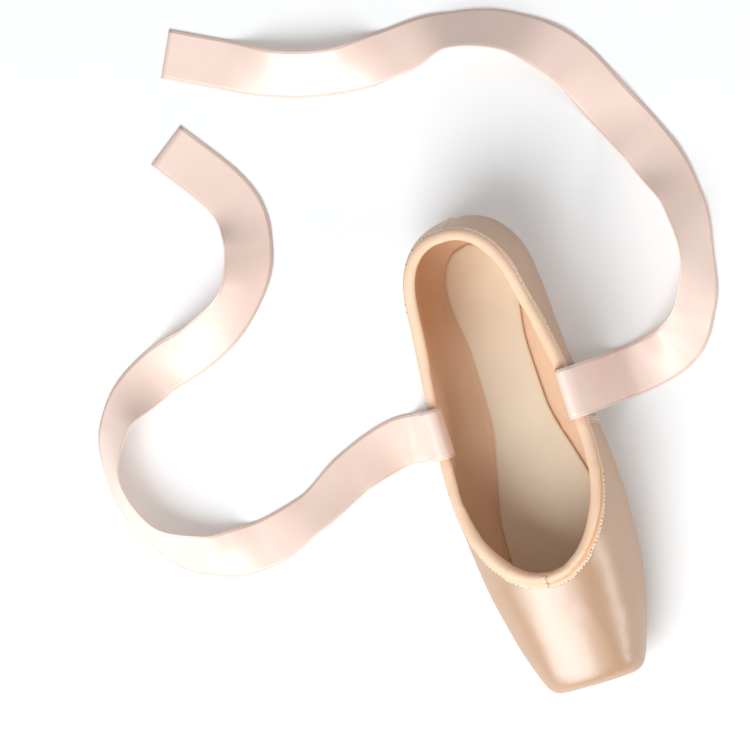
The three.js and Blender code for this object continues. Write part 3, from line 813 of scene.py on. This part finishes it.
def add_binding():
    around = 640

    ribs = []
    for i in range(around + 1):
        turn = HEEL_TURN * (2 * i / around - 1)
        edge, _ = upper_skin.place(turn, 0.15)
        lower, _ = upper_skin.place(turn, 3.0)
        ribs.append((turn, edge, (edge - lower).normalized(), upper_skin.across(turn, 3.0)))
    ribs[-1] = ribs[0]

    def place(u, v):
        turn, edge, up, out = ribs[round(u * around)]
        row = BINDING[round(v * len(BINDING)) % len(BINDING)]
        point = edge - up * row["down"] * MM
        if row["down"] > 3:
            point, _ = upper_skin.place(turn, row["down"])
        at_front = smoothstep(-14, 12, turn) * smoothstep(SIDE_START + 40, 40, turn)
        groove = lerp(0.25, 1, at_front) * row["groove"]
        pulled = 0.06 * noise.noise(edge * 350 + Vector((0, 0, row["down"] * 0.3)))
        away = -wall(turn) - row["out"] if row["inner"] else row["out"] - groove + pulled
        return point + out * away * MM

    bm = closed(grid(around, len(BINDING), place))
    shape = bm.copy()
    finished(bm, "binding_tape", [tape], ["collar_binding"])
    return shape


binding_shape = add_binding()
skin = Skin([upper_shape, binding_shape])


BAND_STITCH = {"spacing": 2.0, "at_throat": 7.4, "further_at_side": 2.6, "hole_ahead": 0.0012}


def stitch_line(u):
    """The stitching's line round the collar: under the binding's edge, and further from it on the +X side."""
    turn = HEEL_TURN * (2 * u - 1)
    away = smoothstep(45, SIDE_START + 15, turn) * smoothstep(SIDE_END, SIDE_END - 40, turn)
    return skin.place(turn, BAND_STITCH["at_throat"] + BAND_STITCH["further_at_side"] * away)


def hole_line(u):
    return stitch_line(u + BAND_STITCH["hole_ahead"] if u < 0.99 else u)


def add_binding_stitches():
    threads, holes = bmesh.new(), bmesh.new()
    sew(threads, spaced(stitch_line, BAND_STITCH["spacing"]), (1.3, 0.7, 0.7), 0.06)
    finished(threads, "binding_thread", [thread])
    # painted shade: dark dots for the needle holes beside the front stitches
    places = spaced(hole_line, BAND_STITCH["spacing"])
    front = [one for one in places if one[0].y < 0.01 or one[0].x < 0]
    sew(holes, [(p + h * MM, n, h) for p, n, h in front], (0.7, 0.75, 0.6), 0.04)
    finished(holes, "binding_needle_holes", [needle_hole_shade])


add_binding_stitches()


def add_binding_join():
    """The band's ends lapped at the throat, and the stitches to and fro over the lap."""
    first, last, rise = -8.2, -1.4, 0.42

    def risen(u, v):
        turn = lerp(first, last, u) + 0.25 * math.sin(v * 9)
        return *skin.place(turn, lerp(0.6, 7.1, v)), rise * min(1, 3.2 * min(u, 1 - u) + 0.15)

    bm = closed(patch(risen, 14, 22, 0.3))
    finished(bm, "binding_join", [plain_tape])
    bm = bmesh.new()

    def line(u):
        point, normal = skin.place(lerp(first, last, 0.72), lerp(1.2, 6.9, u))
        return point + normal * rise * MM, normal

    # the stitches over the lap take the same dark colour as the painted hole shade
    sew(bm, spaced(line, 0.95), (1.5, 0.34, 0.3), 0.0, 38, True)
    finished(bm, "binding_join_thread", [needle_hole_shade])


add_binding_join()

# ---- the seams -----------------------------------------------------------------------------------


SEAM_TOP = 6.2  # just under the binding


def side_line(side):
    length = upper_skin.length(side * SIDE_SEAM["foot"])

    def line_at(u, offset):
        depth = lerp(SEAM_TOP, length - 6.5, u)
        return upper_skin.place(side * (seam_turn(depth) + offset), depth)
    return line_at


def side_rise(v):
    """A flat band with a cord along its toe edge."""
    return 0.32 + 0.55 * bump(v, 0.14, 0.17) - 0.12 * bump(v, 0.36, 0.08)


def add_side_seams():
    bands = bmesh.new()
    bands.loops.layers.uv.new("along")
    threads = bmesh.new()
    for side in (1, -1):
        line_at = side_line(side)
        strip(line_at, SIDE_SEAM["width"], side_rise, 90, 16, bm=bands)
        for offset in (0.0, 1.5):
            def line(u, offset=offset):
                point, normal = line_at(u, offset)
                return point + normal * 0.34 * MM, normal
            sew(threads, spaced(line, 1.3), (1.5, 0.5, 0.5), 0.08, 40, True)
    # the side seam bands take the paler satin, a painted highlight
    finished(closed(bands), "side_seams", [seam_band_highlit_satin])
    finished(threads, "side_seam_thread", [thread])


def add_back_seam():
    """A ridge that wanders a little on its way down the heel, and runs out into the satin."""
    length = upper_skin.length(HEEL_TURN)

    def line_at(u, offset):
        drift = 0.8 * math.sin(u * 7) * u * (1 - u) * 4
        depth = lerp(SEAM_TOP, length - 16, u)
        turn = HEEL_TURN - abs(offset + drift) * 0.75
        point, normal = upper_skin.place(math.copysign(turn, offset + drift + 1e-9), depth)
        return point - normal * 0.5 * (1 - smoothstep(0, 0.1, 1 - u)) * MM, normal

    bm = strip(line_at, 2.8, lambda v: 0.6 * bump(v, 0.5, 0.5) - 0.1, 90, 12, 0.3)
    # the back seam takes the paler satin, a painted highlight
    finished(closed(bm), "back_seam", [seam_band_highlit_satin])


add_side_seams()
add_back_seam()

# ---- the outsole ---------------------------------------------------------------------------------

# The sole's rim, from its top inwards round its edge to its underside. inset: distance in from the outline;
# rise: height above the sole's underside. Two channels for the needle are cut near the edge.
SOLE_RIM = [
    {"inset": 7.2, "rise": 2.0}, {"inset": 3.0, "rise": 2.0}, {"inset": 0.5, "rise": 2.0},
    {"inset": 0.1, "rise": 1.75}, {"inset": 0.0, "rise": 1.3}, {"inset": 0.0, "rise": 0.6},
    {"inset": 0.12, "rise": 0.2}, {"inset": 0.5, "rise": 0.0}, {"inset": 1.2, "rise": 0.0},
    {"inset": 1.8, "rise": 0.02}, {"inset": 2.1, "rise": 0.3}, {"inset": 2.6, "rise": 0.42},
    {"inset": 3.1, "rise": 0.3}, {"inset": 3.4, "rise": 0.02}, {"inset": 4.8, "rise": 0.02},
    {"inset": 5.1, "rise": 0.3}, {"inset": 5.6, "rise": 0.4}, {"inset": 6.1, "rise": 0.3},
    {"inset": 6.4, "rise": 0.02}, {"inset": 7.2, "rise": 0.0},
]


def plate_outline(name, ends, below, count=300):
    """Points round a plate node, on its underside or its top, each with its outward normal."""
    bm = bmesh.new()
    bm.from_mesh(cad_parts[name].data)
    tree = BVHTree.FromBMesh(bm)
    bm.free()
    start, way = (-0.01, 1) if below else (0.1, -1)
    half_line = []
    for i in range(801):
        y = lerp(*ends, (1 - math.cos(math.pi * i / 800)) / 2) * MM
        face = tree.ray_cast(Vector((0, y, start)), Vector((0, 0, way)))[0].z
        side = tree.ray_cast(Vector((0.08, y, face + 0.0008 * way)), Vector((-1, 0, 0)))[0]
        half_line.append(Vector((side.x, y, face)))
    loop = [Vector((0, half_line[0].y - 0.05 * MM, half_line[0].z))] + half_line
    loop += [Vector((0, half_line[-1].y + 0.05 * MM, half_line[-1].z))]
    loop += [Vector((-p.x, p.y, p.z)) for p in reversed(half_line)] + loop[:1]
    travelled = [0]
    for a, b in zip(loop, loop[1:]):
        travelled.append(travelled[-1] + (b - a).length)
    even = []
    for k in range(count):
        at = travelled[-1] * k / count
        i = min(max(bisect_left(travelled, at), 1), len(loop) - 1)
        share = (at - travelled[i - 1]) / max(travelled[i] - travelled[i - 1], 1e-12)
        even.append(loop[i - 1].lerp(loop[i], share))
    found = []
    for k, point in enumerate(even):
        way = even[(k + 2) % count] - even[k - 2]
        found.append((point, Vector((way.y, -way.x, 0)).normalized()))
    return found


def on_plate(outline, at, inset, rise):
    point, out = outline[at % len(outline)]
    return point - out * inset * MM + Vector((0, 0, rise * MM))


def plate(outline, rim):
    """A plate from its outline and the rows of its rim, with its top and its underside filled in."""
    count, last = len(outline), len(rim) - 1

    def edge(u, v):
        row = rim[round(v * last)]
        return on_plate(outline, round(u * count), row["inset"], row["rise"])

    def face(row):
        def place(u, v):
            at = round(u * count / 2)
            a = on_plate(outline, at, row["inset"], row["rise"])
            return a.lerp(on_plate(outline, count - at, row["inset"], row["rise"]), v)
        return place

    bm = grid(count, last, edge)
    grid(count // 2, 10, face(rim[0]), bm)
    grid(count // 2, 10, face(rim[-1]), bm)
    return closed(bm)


SOLE = plate_outline("outsole", (-99.95, 98.95), True)


def add_outsole():
    finished(plate(SOLE, SOLE_RIM), "outsole_suede", [suede], ["outsole"])


def sole_line(inset, first=0.0, last=1.0):
    def line(u):
        at = lerp(first, last, u) * len(SOLE)
        i = math.floor(at)
        point = on_plate(SOLE, i, inset, 0.3).lerp(on_plate(SOLE, i + 1, inset, 0.3), at - i)
        return point, Vector((0, 0, -1))
    return line


def add_sole_stitches():
    """One row in the outer channel all the way round, and one in the inner channel round the toe."""
    rows = [spaced(sole_line(2.6), 3.2), spaced(sole_line(5.6, -0.16, 0.16), 3.2)]
    threads, holes = bmesh.new(), bmesh.new()
    for places in rows:
        sew(threads, places, (2.5, 0.75, 0.4), 0.0)
        # painted shade: a dark dot for each needle hole, ahead of its stitch
        sew(holes, [(p + h * 1.6 * MM, n, h) for p, n, h in places], (0.8, 0.8, 0.46), 0.0)
    finished(threads, "sole_thread", [thread])
    finished(holes, "sole_needle_holes", [needle_hole_shade])


add_outsole()
add_sole_stitches()

# ---- the insole ----------------------------------------------------------------------------------

INSOLE_RIM = [
    {"inset": 6.0, "rise": 0.0}, {"inset": 3.0, "rise": 0.0}, {"inset": 1.2, "rise": -0.05},
    {"inset": 0.5, "rise": -0.2}, {"inset": 0.12, "rise": -0.5}, {"inset": 0.0, "rise": -0.8},
    {"inset": 0.12, "rise": -1.2}, {"inset": 0.6, "rise": -1.55}, {"inset": 6.0, "rise": -1.6},
]


def add_insole():
    outline = plate_outline("insole", (-109.9, 104.9), False)
    finished(plate(outline, INSOLE_RIM), "insole_cloth", [insole_cloth], ["insole"])


add_insole()

# ---- floor and light -----------------------------------------------------------------------------


def add_floor():
    bm = bmesh.new()
    bmesh.ops.create_grid(bm, x_segments=1, y_segments=1, size=6)
    mesh = bpy.data.meshes.new("floor")
    bm.to_mesh(mesh)
    bm.free()
    material = bpy.data.materials.new("floor_white")
    material.use_nodes = True
    shader = material.node_tree.nodes["Principled BSDF"]
    shader.inputs["Base Color"].default_value = (0.82, 0.82, 0.82, 1)
    shader.inputs["Roughness"].default_value = 0.9
    shader.inputs["Emission Color"].default_value = (1, 1, 1, 1)
    shader.inputs["Emission Strength"].default_value = 0.15
    mesh.materials.append(material)
    floor = bpy.data.objects.new("floor", mesh)
    scene.collection.objects.link(floor)


def add_light(name, place, target, size, power, colour=(1, 1, 1)):
    lamp = bpy.data.lights.new(name, "AREA")
    lamp.shape = "RECTANGLE"
    lamp.size, lamp.size_y = size
    lamp.energy = power
    lamp.color = colour
    holder = bpy.data.objects.new(name, lamp)
    way = Vector(place) - Vector(target)
    holder.matrix_world = Matrix.Translation(Vector(place)) @ way.to_track_quat("Z", "Y").to_matrix().to_4x4()
    scene.collection.objects.link(holder)


add_floor()
add_light("key", (-0.72, -0.85, 1.3), (0, -0.03, 0), (1.5, 1.5), 36.5, (0.97, 1, 1.02))
add_light("strip", (1.2, -0.62, 0.55), (0.02, -0.07, 0.03), (0.9, 0.1), 5.2)
add_light("fill", (0.5, 1.3, 1.2), (0, 0, 0), (1.0, 1.0), 3.5)
world = bpy.data.worlds.new("studio")
scene.world = world
world.use_nodes = True
world.node_tree.nodes["Background"].inputs["Color"].default_value = (1, 1, 1, 1)
world.node_tree.nodes["Background"].inputs["Strength"].default_value = 0.23
